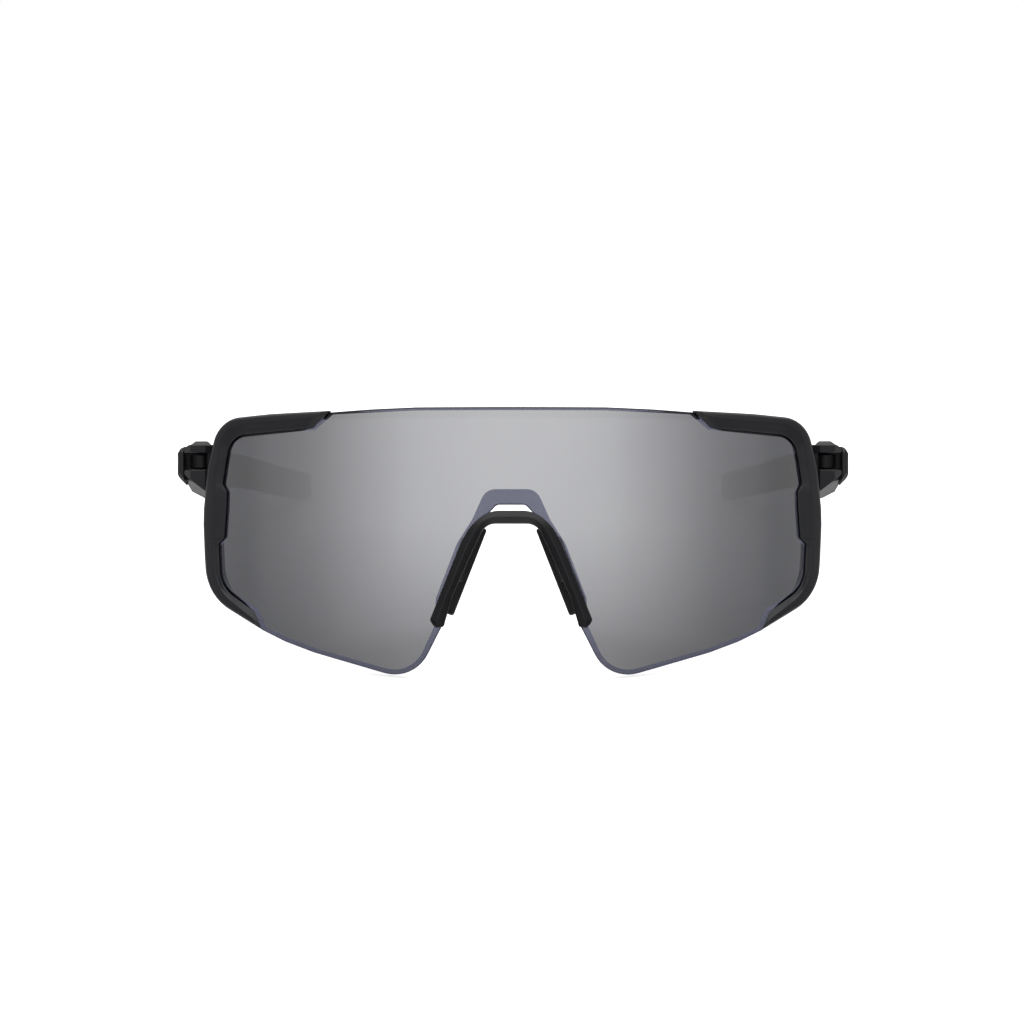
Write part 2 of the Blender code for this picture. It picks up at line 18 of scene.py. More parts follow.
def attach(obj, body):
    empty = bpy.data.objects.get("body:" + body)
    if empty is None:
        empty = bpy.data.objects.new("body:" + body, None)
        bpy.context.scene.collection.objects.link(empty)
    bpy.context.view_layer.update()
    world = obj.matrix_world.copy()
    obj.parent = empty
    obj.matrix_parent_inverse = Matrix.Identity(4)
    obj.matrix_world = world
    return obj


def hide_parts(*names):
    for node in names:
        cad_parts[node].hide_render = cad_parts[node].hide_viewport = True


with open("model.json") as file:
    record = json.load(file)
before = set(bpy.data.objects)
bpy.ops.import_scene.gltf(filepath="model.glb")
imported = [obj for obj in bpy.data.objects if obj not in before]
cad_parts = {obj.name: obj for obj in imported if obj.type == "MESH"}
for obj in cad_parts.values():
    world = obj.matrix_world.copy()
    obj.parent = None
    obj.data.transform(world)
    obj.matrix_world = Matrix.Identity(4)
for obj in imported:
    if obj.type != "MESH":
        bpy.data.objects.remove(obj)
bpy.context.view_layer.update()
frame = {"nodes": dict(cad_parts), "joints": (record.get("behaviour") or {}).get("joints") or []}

MM = 0.001

# Lens
LENS_RADIUS = 90.0
CROWN_RADIUS = 400.0
CROWN_HEIGHT = 36.0
LENS_THICKNESS = 2.0
LENS_EDGE = 0.3                  # rounding of the lens's cut edge
NOSE_TOP = 35.7

# Frame
GAP = 0.3                        # clearance between pieces, as in the CAD
RIM_BACK = -4.6
RIM_FACE = 1.6
RIDGE = 2.3                      # distance of the ridge from the outer edge of the rim
LIP = 0.3                        # height of the lip over the lens
FLANGE = 0.65                    # how much further in the rim reaches behind the lens than in front of it
BROW_FRONT = -2.3                # heights of the brow bar's two faces above the lens face
BROW_BACK = -5.0
BROW_REACH = 43.0
BROW_TOP = ((0.0, 20.0, 30.0, 37.0, 44.0), (55.55, 55.5, 55.45, 55.4, 55.2))     # x, and z at that x
BROW_BOTTOM = ((0.0, 30.0, 44.0), (54.15, 54.1, 53.9))

# Hinge
HINGE_X = 69.5
HINGE_Y = 42.0
HINGE_Z = 45.0
FORK_TOP = 49.1
FORK_UPPER = 47.3
FORK_LOWER = 43.6
FORK_FOOT = 38.8
FORK_SLOPE = 0.72                # rise of the lower arm's underside
FORK_SLOPE_START = 67.9
FORK_SHOULDER = [(69.7, 50.4), (76.0, 50.4), (76.0, 46.5)]      # x, z of the wedge cut off the outer corner
SHAFT_RADIUS = 0.7
SCREW_RADIUS = 1.6
SCREW_BOTTOM = 40.4
SCREW_TOP = 41.3
BUSHING_RADIUS = 1.6
INSERT_RADIUS = 1.4

# Temples
ARM_FRONT = 45.3
ARM_END = 108.0
TIP_END = 160.0
ARM_CENTRE = 71.6
ARM_SWEEP = 16.1
ARM_BOW = 2.5
BADGE_START = 50.5
BADGE_END = 64.5
BADGE_THICKNESS = 0.8
BADGE_HALF_HEIGHT = 1.35
GRIP_START = 116                 # the grooves of the rubber tip
GRIP_END = 150
GRIP_PITCH = 3.4
GRIP_DEPTH = 0.22
CHEEK_INNER = 73.45
CHEEK_RINGS = [                  # y, outer face, bottom, top
    (39.7, 74.1, 41.9, 47.7), (39.85, 74.35, 41.6, 47.95), (40.8, 74.85, 41.0, 48.7),
    (43.5, 74.95, 40.5, 48.9), (47.0, 75.0, 40.1, 49.0), (50.0, 74.85, 40.2, 48.7),
    (53.0, 74.45, 40.5, 48.1), (56.0, 73.9, 41.0, 47.4),
]

# Nose
BRIDGE_BACK = -4.5
PIN_X = 11.0
PIN_Z = 21.5
PAD_FRONT = 7.5
PAD_BACK = 15.4
PAD_SPLAY = 0.36
PAD_OFFSET = (-1.45, 0.15)
PAD_ALONG = (-0.365, 0.931)
PAD_ACROSS = (0.931, 0.365)
PAD_HALF_LENGTH = 9.9
PAD_HALF_THICKNESS = 1.05
HUB_RADIUS = 1.35
HUB_DEPTH = 2.9
BOSS_FRONT = 4.2
BOSS_CORNERS = [(-0.5, -2.0), (1.9, -2.0), (0.5, 2.0), (-1.9, 2.0)]      # from the pin
PAD_CLEARANCE = 0.5
PAD_END_MARGIN = 1.2             # from the slat's ends to its grooves
GROOVE_REACH = 7.2
GROOVE_DEPTH = 0.18
GROOVE_PITCH = 1.8

LENS_OUTLINE = [                 # left half, from the top centre round to the nose; x, z, radius
    (20.0, 56.3, 0), (30.0, 55.95, 0), (39.1, 55.4, 0.8), (40.9, 53.7, 0.8), (52.5, 53.3, 0),
    (63.4, 52.6, 7.0), (65.6, 43.0, 8.0), (65.9, 31.5, 0), (65.6, 24.0, 0), (65.0, 17.3, 9.0),
    (56.4, 12.2, 1.0), (54.2, 8.75, 1.0), (48.7, 6.3, 0), (42.2, 4.1, 0), (34.2, 2.0, 0),
    (20.6, -1.65, 8.0), (14.5, 10.3, 2.0), (13.7, 15.5, 3.0), (9.4, 26.8, 3.0), (6.5, 32.0, 2.5),
    (3.0, NOSE_TOP, 1.2),
]
COATING_OUTLINE = [              # left half of the mirrored area
    (20.0, 55.6, 0), (30.0, 55.25, 0), (38.0, 54.95, 0.8), (41.9, 51.75, 0.8), (60.8, 50.3, 4.2),
    (61.9, 45.2, 0), (62.6, 40.5, 0.6), (61.7, 38.4, 0.6), (61.8, 35.0, 0), (62.3, 28.2, 0.6),
    (63.7, 26.9, 0.5), (63.2, 18.1, 6.6), (54.8, 13.2, 1.2), (52.9, 9.3, 1.2), (48.3, 7.3, 0),
    (41.9, 5.1, 0), (33.9, 3.0, 0), (21.0, -0.35, 6.8), (16.1, 10.4, 2.0), (15.9, 16.0, 3.0),
    (11.4, 27.6, 6.0), (8.2, 32.6, 3.0), (5.3, 39.0, 3.2),
]
RIM_OUTER = [                    # from the upper arm end, round the outside, to the lower arm end
    (38.7, 55.75, 0), (52.0, 55.3, 0), (64.2, 54.4, 7.0), (66.9, 43.4, 10.0), (67.8, 35.0, 0),
    (67.9, 31.5, 0), (67.6, 24.5, 0), (67.0, 15.9, 11.0), (54.0, 8.8, 0),
]
RIM_INNER = [
    (42.3, 52.2, 0), (61.2, 50.8, 4.5), (62.4, 45.2, 0), (63.2, 40.2, 0.6), (62.2, 38.6, 0.6),
    (62.3, 35.0, 0), (62.8, 28.6, 0.6), (64.2, 27.2, 0.5), (63.7, 17.8, 7.0), (55.6, 12.6, 0),
]
RIM_STATIONS = [                 # points of the two edges that lie across from each other, and steps on
    ((38.7, 55.75), (42.3, 52.2), 2), ((40.3, 55.7), (43.9, 52.08), 10), ((52.0, 55.3), (52.0, 51.5), 8),
    ((59.1, 54.78), (57.84, 51.05), 14), ((65.4, 49.45), (61.9, 47.5), 5), ((66.35, 45.6), (62.4, 45.2), 6),
    ((67.2, 40.6), (63.15, 40.4), 6), ((67.4, 38.4), (62.2, 38.4), 4), ((67.8, 35.0), (62.3, 35.0), 7),
    ((67.75, 28.8), (62.8, 28.8), 5), ((67.68, 27.0), (64.2, 27.0), 5), ((67.42, 21.9), (63.9, 21.4), 14),
    ((61.7, 13.0), (60.7, 15.86), 6), ((55.1, 9.4), (56.7, 13.3), 2), ((54.0, 8.8), (55.6, 12.6), 0),
]
BRIDGE_OUTER = [(0.0, 34.5, 0), (4.7, 34.5, 7.0), (8.8, 31.3, 11.0), (10.8, 27.0, 15.0), (17.1, 11.6, 0)]
BRIDGE_INNER = [(0.0, 31.7, 0), (5.4, 31.7, 3.4), (8.15, 26.0, 3.0), (12.5, 16.1, 3.0), (14.3, 10.0, 0)]
BRIDGE_STATIONS = [
    ((0.0, 34.5), (0.0, 31.7), 4), ((2.3, 34.5), (3.4, 31.7), 12), ((7.6, 32.3), (6.3, 29.9), 8),
    ((10.4, 27.3), (8.3, 25.7), 8), ((14.7, 17.3), (12.35, 16.4), 8), ((17.1, 11.6), (14.0, 11.0), 0),
]
BRIDGE_END = [((16.9, 11.0), (14.15, 10.4)), ((16.5, 10.4), (14.3, 10.05)), ((15.9, 9.85), (14.6, 9.95))]
FORK_OUTLINE = [                 # one fork arm of the left hinge in plan; x, y, radius
    (66.2, 34.6, 0), (67.8, 32.6, 0), (71.2, 34.6, 2.0), (73.1, 38.2, 2.0), (73.1, 43.6, 1.6),
    (71.4, 45.0, 1.2), (66.5, 45.0, 2.6), (66.5, 38.2, 0), (62.4, 38.2, 1.0), (62.4, 32.2, 0),
]
ROOT_OUTLINE = [(62.4, 30.6, 0), (67.6, 35.4, 0), (66.5, 38.2, 0), (62.4, 38.2, 1.0)]
NECK_OUTLINE = [
    (66.9, 39.4, 2.59), (72.1, 39.4, 2.59), (72.1, 48.0, 0), (69.2, 48.0, 0), (66.9, 44.6, 0.8),
]
ARM_SECTION = [                  # across and up, each from -1 to 1, and the radius of the corner
    (0.03, 1.0, 0.5), (0.74, 0.69, 0.5), (1.0, 0.34, 0.35), (1.0, -0.31, 0.35), (0.51, -0.75, 0.45),
    (-0.55, -1.0, 0.45), (-1.0, -0.85, 0.3), (-1.0, 0.86, 0.3), (-0.74, 1.0, 0.3),
]


# --- frames of reference --------------------------------------------------------------------------

def worn_matrix():
    """From the worn frame to the row frame, read from the left temple's hinge."""
    hinge = next(joint for joint in frame["joints"] if joint["name"] == "left_temple_fold")
    up = Vector(hinge["axis"]).normalized()
    side = Vector((1, 0, 0))
    back = up.cross(side)
    turn = Matrix((side, back, up)).transposed()
    start = Vector(hinge["pos_m"]) - turn @ Vector((HINGE_X, HINGE_Y, HINGE_Z)) * MM
    return Matrix.Translation(start) @ turn.to_4x4() @ Matrix.Scale(MM, 4)


WORN = worn_matrix()


def lens_depth(x, z):
    return LENS_RADIUS - np.sqrt(LENS_RADIUS ** 2 - x * x) + (z - CROWN_HEIGHT) ** 2 / (2 * CROWN_RADIUS)


def bent(points):
    """Flat points (x, z, out) on the curved lens."""
    x, z, out = points.T
    slant = np.sqrt(1 - (x / LENS_RADIUS) ** 2)
    return np.stack([x, lens_depth(x, z) - out / slant, z], axis=1)


def bent_normals(points, normals):
    """The normals after the same bend."""
    x, z, out = points.T
    across, up, outward = normals.T
    slant = np.sqrt(1 - (x / LENS_RADIUS) ** 2)
    along_x = x / (LENS_RADIUS * slant) - out * x / (LENS_RADIUS ** 2 * slant ** 3)
    along_z = (z - CROWN_HEIGHT) / CROWN_RADIUS
    turned = np.stack([across / slant + outward * along_x, -outward, up / slant + outward * along_z], axis=1)
    return turned / np.linalg.norm(turned, axis=1)[:, None]


# --- outlines -------------------------------------------------------------------------------------

def rounded(corners, steps=10):
    """The outline through these corners, each rounded by its own radius."""
    outline = []
    for index, (x, y, radius) in enumerate(corners):
        corner = complex(x, y)
        if radius == 0:
            outline.append((x, y))
            continue
        before = complex(*corners[index - 1][:2]) - corner
        after = complex(*corners[(index + 1) % len(corners)][:2]) - corner
        before /= abs(before)
        after /= abs(after)
        half = abs(cmath.phase(after / before)) / 2
        middle = before + after
        centre = corner + middle / abs(middle) * radius / math.sin(half)
        start = corner + before * radius / math.tan(half) - centre
        end = corner + after * radius / math.tan(half) - centre
        turn = cmath.phase(end / start)
        count = max(3, steps) if radius > 1.5 else 3
        for step in range(count + 1):
            point = centre + start * cmath.exp(1j * turn * step / count)
            outline.append((point.real, point.imag))
    return outline


def both_sides(corners):
    other = [(-x, z, radius) for x, z, radius in reversed(corners) if x != 0]
    return corners + other


def blend(value, start, end):
    part = min(max((value - start) / (end - start), 0.0), 1.0)
    return part * part * (3 - 2 * part)


def between(start, end, count):
    return [start + (end - start) * index / count for index in range(count + 1)]


class Path:
    """A line of points that can be read at any distance along it."""

    def __init__(self, points):
        self.points = np.array(points, float)
        steps = np.linalg.norm(np.diff(self.points, axis=0), axis=1)
        self.length = np.concatenate([[0], np.cumsum(steps)])

    def near(self, point):
        """The distance along the line at which it passes nearest to the point."""
        best = (1e9, 0.0)
        for a, b, start in zip(self.points, self.points[1:], self.length):
            run = b - a
            part = min(max(float(np.dot(np.array(point) - a, run) / np.dot(run, run)), 0.0), 1.0)
            gap = float(np.linalg.norm(a + run * part - point))
            best = min(best, (gap, start + part * float(np.linalg.norm(run))))
        return best[1]

    def at(self, distance):
        return np.array([np.interp(distance, self.length, self.points[:, axis]) for axis in (0, 1)])


def crossing(start, end, outline):
    """How far from start the line to end meets the outline last, or None."""
    found = None
    run = end - start
    for a, b in zip(outline, np.roll(outline, -1, axis=0)):
        side = b - a
        area = run[0] * side[1] - run[1] * side[0]
        if abs(area) < 1e-9:
            continue
        rest = a - start
        along = (rest[0] * side[1] - rest[1] * side[0]) / area
        across = (rest[0] * run[1] - rest[1] * run[0]) / area
        if 0 <= along <= 1 and 0 <= across <= 1:
            found = max(found or 0.0, along * float(np.linalg.norm(run)))
    return found


def stations(outer, inner, keys):
    """Pairs of points across a band, evenly spaced between the key pairs, and the distance travelled."""
    outer_path = Path(rounded(outer, 14))
    inner_path = Path(rounded(inner, 14))
    marks = [(outer_path.near(a), inner_path.near(b), count) for a, b, count in keys]
    pairs = []
    for (a0, b0, count), (a1, b1, _) in zip(marks, marks[1:]):
        for step in range(count):
            part = step / count
            pairs.append((outer_path.at(a0 + (a1 - a0) * part), inner_path.at(b0 + (b1 - b0) * part)))
    pairs.append((outer_path.at(marks[-1][0]), inner_path.at(marks[-1][1])))
    return pairs


# --- meshes ---------------------------------------------------------------------------------------

def loft(rings):
    """A closed body through rings of equally many points."""
    edit = bmesh.new()
    loops = [[edit.verts.new(Vector(point)) for point in ring] for ring in rings]
    for near, far in zip(loops, loops[1:]):
        for index in range(len(near)):
            edit.faces.new((near[index - 1], near[index], far[index], far[index - 1]))
    edit.faces.new(loops[0])
    edit.faces.new(loops[-1])
    bmesh.ops.recalc_face_normals(edit, faces=edit.faces)
    return edit


def as_object(edit):
    mesh = bpy.data.meshes.new("work")
    edit.to_mesh(mesh)
    edit.free()
    obj = bpy.data.objects.new("work", mesh)
    bpy.context.scene.collection.objects.link(obj)
    return obj


def evaluated(obj):
    """The object's mesh with its modifiers applied. The object is removed."""
    bpy.context.view_layer.update()
    graph = bpy.context.evaluated_depsgraph_get()
    mesh = bpy.data.meshes.new_from_object(obj.evaluated_get(graph))
    mesh.transform(obj.matrix_world)
    data = obj.data
    bpy.data.objects.remove(obj, do_unlink=True)
    if data.users == 0 and isinstance(data, bpy.types.Mesh):
        bpy.data.meshes.remove(data)
    return mesh


def as_edit(mesh):
    edit = bmesh.new()
    edit.from_mesh(mesh)
    bpy.data.meshes.remove(mesh)
    return edit


def combined(base, others, operation):
    """The body after a Boolean with each of the others."""
    obj = as_object(base)
    tools = [as_object(other) for other in others]
    for tool in tools:
        boolean = obj.modifiers.new("boolean", "BOOLEAN")
        boolean.operation = operation
        boolean.object = tool
    result = as_edit(evaluated(obj))
    for tool in tools:
        bpy.data.objects.remove(tool, do_unlink=True)
    bmesh.ops.remove_doubles(result, verts=result.verts, dist=0.002)
    return result


def plate(outline, low, high, rim=0.0, rounds=2):
    """A plate over an outline, from height low to high, its edges rounded by rim."""
    curve = bpy.data.curves.new("plate", "CURVE")
    curve.dimensions = "2D"
    curve.fill_mode = "BOTH"
    curve.extrude = (high - low) / 2 - rim
    curve.bevel_depth = rim
    curve.bevel_resolution = rounds
    curve.offset = -rim
    spline = curve.splines.new("POLY")
    spline.points.add(len(outline) - 1)
    for point, (x, y) in zip(spline.points, outline):
        point.co = (x, y, 0, 1)
    spline.use_cyclic_u = True
    obj = bpy.data.objects.new("plate", curve)
    bpy.context.scene.collection.objects.link(obj)
    obj.location.z = (low + high) / 2
    edit = as_edit(evaluated(obj))
    bmesh.ops.remove_doubles(edit, verts=edit.verts, dist=0.002)
    bmesh.ops.dissolve_limit(edit, angle_limit=0.001, verts=edit.verts, edges=edit.edges)
    bmesh.ops.recalc_face_normals(edit, faces=edit.faces)
    return edit


def cylinder(radius, low, high, x, y, segments=40):
    edit = bmesh.new()
    bmesh.ops.create_cone(edit, cap_ends=True, segments=segments, radius1=radius, radius2=radius,
                          depth=high - low, matrix=Matrix.Translation((x, y, (low + high) / 2)))
    return edit


def turned_back(edit):
    """A body drawn as x, z and depth, set upright with its depth along Y."""
    for vertex in edit.verts:
        x, z, depth = vertex.co
        vertex.co = (x, depth, z)
    bmesh.ops.recalc_face_normals(edit, faces=edit.faces)
    return edit


def mirror_edit(edit):
    for vertex in edit.verts:
        vertex.co.x = -vertex.co.x
    bmesh.ops.reverse_faces(edit, faces=edit.faces)
    return edit


def sliced(edit, across, up):
    """Cuts a flat body into cells of this width and height, fine enough to bend."""
    reach = int(70 / across)
    cuts = [((index * across, 0, 0), (1, 0, 0)) for index in range(-reach, reach + 1)]
    cuts += [((0, index * up, 0), (0, 1, 0)) for index in range(int(60 / up))]
    for place, normal in cuts:
        every = edit.verts[:] + edit.edges[:] + edit.faces[:]
        bmesh.ops.bisect_plane(edit, geom=every, dist=0.0005, plane_co=place, plane_no=normal)
    wide = [face for face in edit.faces if len(face.verts) > 4]
    bmesh.ops.triangulate(edit, faces=wide)
    return edit


def finished(name, edit, materials, flat=False, crisp=32):
    """The piece in the row frame. Its normals are settled before it is bent, so that it shades cleanly."""
    obj = as_object(edit)
    obj.data.shade_smooth()
    obj.data.set_sharp_from_angle(angle=math.radians(crisp))
    weighted = obj.modifiers.new("weighted", "WEIGHTED_NORMAL")
    weighted.keep_sharp = True
    mesh = evaluated(obj)
    points = np.empty(len(mesh.vertices) * 3)
    mesh.vertices.foreach_get("co", points)
    points = points.reshape(-1, 3)
    normals = np.empty(len(mesh.loops) * 3)
    mesh.corner_normals.foreach_get("vector", normals)
    normals = normals.reshape(-1, 3)
    corners = np.empty(len(mesh.loops), int)
    mesh.loops.foreach_get("vertex_index", corners)
    if flat:
        normals = bent_normals(points[corners], normals)
        points = bent(points)
        # The bend swaps two axes and turns the third, so the faces keep the same way round.
    place = np.array(WORN)
    turn = place[:3, :3] / MM
    points = points @ place[:3, :3].T + place[:3, 3]
    normals = normals @ turn.T
    mesh.vertices.foreach_set("co", points.ravel())
    mesh.update()
    mesh.normals_split_custom_set(normals.tolist())
    for material in materials:
        mesh.materials.append(material)
    mesh.name = name
    piece = bpy.data.objects.new(name, mesh)
    bpy.context.scene.collection.objects.link(piece)
    return piece


# --- materials ------------------------------------------------------------------------------------

NOISE_LOW = 0.35                 # the middle range of the noises, which the looks are spread over
NOISE_HIGH = 0.65


class Nodes:
    """A material's node tree, with short calls to add to it."""

    def __init__(self, name):
        self.material = bpy.data.materials.new(name)
        self.material.use_nodes = True
        self.tree = self.material.node_tree
        self.shader = self.tree.nodes["Principled BSDF"]
        self.place = self.add("ShaderNodeTexCoord").outputs["Object"]

    def add(self, kind, **settings):
        node = self.tree.nodes.new(kind)
        for key, value in settings.items():
            setattr(node, key, value)
        return node

    def link(self, source, target):
        self.tree.links.new(source, target)

    def noise(self, scale, detail=3.0, stretch=None):
        node = self.add("ShaderNodeTexNoise")
        node.inputs["Scale"].default_value = scale
        node.inputs["Detail"].default_value = detail
        where = self.place
        if stretch:
            mapping = self.add("ShaderNodeMapping")
            mapping.inputs["Scale"].default_value = stretch
            self.link(where, mapping.inputs["Vector"])
            where = mapping.outputs["Vector"]
        self.link(where, node.inputs["Vector"])
        return node.outputs["Fac"]

    def ramp(self, source, low, high, target):
        """Turns a noise into a value from low to high."""
        node = self.add("ShaderNodeMapRange")
        node.inputs["From Min"].default_value = NOISE_LOW
        node.inputs["From Max"].default_value = NOISE_HIGH
        node.inputs["To Min"].default_value = low
        node.inputs["To Max"].default_value = high
        self.link(source, node.inputs["Value"])
        self.link(node.outputs["Result"], target)

    def colours(self, source, low, high):
        node = self.add("ShaderNodeValToRGB")
        node.color_ramp.elements[0].position = NOISE_LOW
        node.color_ramp.elements[1].position = NOISE_HIGH
        node.color_ramp.elements[0].color = (*low, 1)
        node.color_ramp.elements[1].color = (*high, 1)
        self.link(source, node.inputs["Fac"])
        self.link(node.outputs["Color"], self.shader.inputs["Base Color"])

    def bump(self, source, height):
        node = self.add("ShaderNodeBump")
        node.inputs["Strength"].default_value = 1.0
        node.inputs["Distance"].default_value = height * MM
        self.link(source, node.inputs["Height"])
        self.link(node.outputs["Normal"], self.shader.inputs["Normal"])

    def set(self, **values):
        for key, value in values.items():
            self.shader.inputs[key.replace("_", " ")].default_value = value


def plastic(name, dark, light, rough, grain, gloss):
    """Moulded satin plastic: fine spark-eroded grain, slightly uneven gloss, and a faint cloudiness."""
    nodes = Nodes(name)
    nodes.colours(nodes.noise(90, 4), dark, light)
    nodes.ramp(nodes.noise(260, 5), rough - 0.012, rough + 0.018, nodes.shader.inputs["Roughness"])
    nodes.bump(nodes.noise(4200, 2), grain)
    nodes.set(IOR=1.5, Specular_IOR_Level=gloss)
    return nodes.material


def rubber():
    nodes = Nodes("soft_rubber")
    nodes.colours(nodes.noise(140, 4), (0.011, 0.011, 0.012), (0.019, 0.019, 0.020))
    nodes.ramp(nodes.noise(500, 3), 0.62, 0.78, nodes.shader.inputs["Roughness"])
    nodes.bump(nodes.noise(3000, 3), 0.02)
    nodes.set(IOR=1.45, Sheen_Weight=0.15, Sheen_Roughness=0.5)
    return nodes.material


def mirror_coating():
    """The vapour-deposited mirror: mostly a reflecting film, and a little see-through."""
    nodes = Nodes("mirror_coating")
    nodes.colours(nodes.noise(28, 2), (0.860, 0.862, 0.890), (0.890, 0.892, 0.915))
    nodes.ramp(nodes.noise(60, 3), 0.020, 0.032, nodes.shader.inputs["Roughness"])
    nodes.set(Metallic=0.93, Transmission_Weight=1.0, IOR=1.5)
    return nodes.material


def lens_border():
    """The masked margin of the lens, with only a trace of the coating."""
    nodes = Nodes("lens_border")
    nodes.colours(nodes.noise(40, 2), (0.202, 0.204, 0.258), (0.214, 0.216, 0.272))
    nodes.ramp(nodes.noise(70, 3), 0.03, 0.05, nodes.shader.inputs["Roughness"])
    nodes.set(Metallic=0.25, Transmission_Weight=1.0, IOR=1.5)
    return nodes.material


def lens_body():
    """Smoke-violet polycarbonate."""
    nodes = Nodes("tinted_polycarbonate")
    nodes.colours(nodes.noise(40, 2), (0.052, 0.054, 0.082), (0.058, 0.060, 0.090))
    nodes.ramp(nodes.noise(70, 3), 0.02, 0.04, nodes.shader.inputs["Roughness"])
    nodes.set(Transmission_Weight=1.0, IOR=1.5)
    return nodes.material


def brushed(name, dark, light, rough, metallic=1.0, stretch=(1, 0.05, 1)):
    nodes = Nodes(name)
    lines = nodes.noise(2600, 3, stretch)
    nodes.colours(lines, dark, light)
    nodes.ramp(lines, rough - 0.05, rough + 0.08, nodes.shader.inputs["Roughness"])
    nodes.bump(lines, 0.004)
    nodes.set(Metallic=metallic)
    return nodes.material


FRAME_PLASTIC = plastic("frame_plastic", (0.0182, 0.0184, 0.0210), (0.0200, 0.0203, 0.0230),
                        0.29, 0.005, 0.50)
BRIDGE_PLASTIC = plastic("bridge_plastic", (0.0072, 0.0072, 0.0086), (0.0083, 0.0083, 0.0097),
                         0.21, 0.004, 0.62)
ARM_PLASTIC = plastic("arm_plastic", (0.0119, 0.0122, 0.0125), (0.0132, 0.0135, 0.0138), 0.33, 0.006, 0.5)
RUBBER = rubber()
COATING = mirror_coating()
BORDER = lens_border()
BODY = lens_body()
BADGE = brushed("badge_finish", (0.42, 0.42, 0.43), (0.55, 0.55, 0.56), 0.30)
STEEL = brushed("steel_finish", (0.50, 0.50, 0.52), (0.62, 0.62, 0.64), 0.24)
BRASS = brushed("brass_finish", (0.55, 0.38, 0.16), (0.66, 0.47, 0.21), 0.28)
ACETAL = brushed("acetal_finish", (0.50, 0.50, 0.47), (0.58, 0.58, 0.55), 0.48, 0.0)


# --- the lens -------------------------------------------------------------------------------------

LENS_EDGES = np.array(rounded(both_sides(LENS_OUTLINE)))


def make_lens():
    """The shield, with the coated area of its front face cut out along the coating's outline."""
    edit = plate(rounded(both_sides(LENS_OUTLINE)), -LENS_THICKNESS, 0, rim=LENS_EDGE)
    for face in edit.faces:
        face.material_index = 2
    front = [face for face in edit.faces if all(vertex.co.z > -0.0005 for vertex in face.verts)]
    bmesh.ops.delete(edit, geom=front, context="FACES_ONLY")
    inner = [edge for edge in edit.edges if not edge.link_faces]
    bmesh.ops.delete(edit, geom=inner, context="EDGES_FACES")
    margin = [edge for edge in edit.edges if edge.is_boundary]
    points = [edit.verts.new((x, z, 0)) for x, z in rounded(both_sides(COATING_OUTLINE))]
    mask = [edit.edges.new((a, b)) for a, b in zip(points, points[1:] + points[:1])]
    for edges, material in ((margin + mask, 1), (mask, 0)):
        made = bmesh.ops.triangle_fill(edit, use_beauty=True, use_dissolve=False, edges=edges)
        for item in made["geom"]:
            if isinstance(item, bmesh.types.BMFace):
                item.material_index = material
    bmesh.ops.recalc_face_normals(edit, faces=edit.faces)
    piece = finished("lens_shield", sliced(edit, 2.0, 5.0), [COATING, BORDER, BODY], flat=True)
    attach(piece, "front")
    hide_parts("lens")


# --- the frame ------------------------------------------------------------------------------------

def across_band(outer, inner, profile):
    """Flat points of a cross-section, from distances from the outer edge and heights."""
    width = float(np.linalg.norm(inner - outer))
    unit = (inner - outer) / width
    return [(*(outer + unit * distance), height) for distance, height in profile]


def rim_profile(width, ridge, pocket, rise, flange):
    """Cross-section of the rim: distance from its outer edge, and height above the lens face."""
    pocket = min(max(pocket, 0.4), width - 0.5)
    front = [
        (0.0, 0.55), (0.04, 0.86), (0.16, 1.12), (0.36, 1.32), (0.65, 1.44), (ridge - 0.3, 1.58),
        (ridge - 0.1, RIM_FACE), (ridge + 0.08, 1.56), (ridge + 0.26, 1.43), (width - 0.42, 0.74),
        (width - 0.2, 0.64), (width - 0.06, 0.52),
    ]
    front = [(distance, LIP + 0.15 + (height - LIP - 0.15) * rise) for distance, height in front]
    under = [(width, LIP + 0.1), (width - 0.03, LIP), (pocket, LIP), (pocket, BROW_FRONT)]
    inner = width + flange
    back = [
        (inner - 0.05, BROW_FRONT), (inner, BROW_FRONT - 0.12), (inner, RIM_BACK + 0.4),
        (inner - 0.1, RIM_BACK + 0.14), (inner - 0.35, RIM_BACK), (0.4, RIM_BACK), (0.12, RIM_BACK + 0.13),
        (0.0, RIM_BACK + 0.45),
    ]
    return front + under + back


def make_rim_half():
    """The left half of the rim in the flat: a band lofted between its outer and inner edges."""
    pairs = stations(RIM_OUTER, RIM_INNER, RIM_STATIONS)
    middles = [(outer + inner) / 2 for outer, inner in pairs]
    travel = np.concatenate([[0], np.cumsum([np.linalg.norm(b - a) for a, b in zip(middles, middles[1:])])])
    rings = []
    for (outer, inner), distance in zip(pairs, travel):
        width = float(np.linalg.norm(inner - outer))
        meets = crossing(outer, inner, LENS_EDGES)
        pocket = (meets if meets is not None else 0.6) - GAP
        rise = min(1.0, 0.12 + 0.88 * distance / 1.6, 0.25 + 0.75 * (travel[-1] - distance) / 1.25)
        ridge = min(RIDGE - 0.5 * blend(abs(outer[1] - 32.0), 12.0, 21.0), width - 0.8)
        flange = FLANGE * blend(min(distance, travel[-1] - distance), 0.0, 2.5)
        rings.append(across_band(outer, inner, rim_profile(width, ridge, pocket, rise, flange)))
    return loft(rings)


def make_brow():
    """The bar behind the top of the lens, which joins the two side rims."""
    rings = []
    for x in between(-BROW_REACH, BROW_REACH, 43):
        top = float(np.interp(abs(x), *BROW_TOP))
        low = float(np.interp(abs(x), *BROW_BOTTOM))
        corners = [
            (top, BROW_FRONT, 0.35), (top, BROW_BACK, 0.6), (low, BROW_BACK, 0.6), (low, BROW_FRONT, 0.3),
        ]
        rings.append([(x, z, out) for z, out in rounded(corners, 3)])
    return loft(rings)


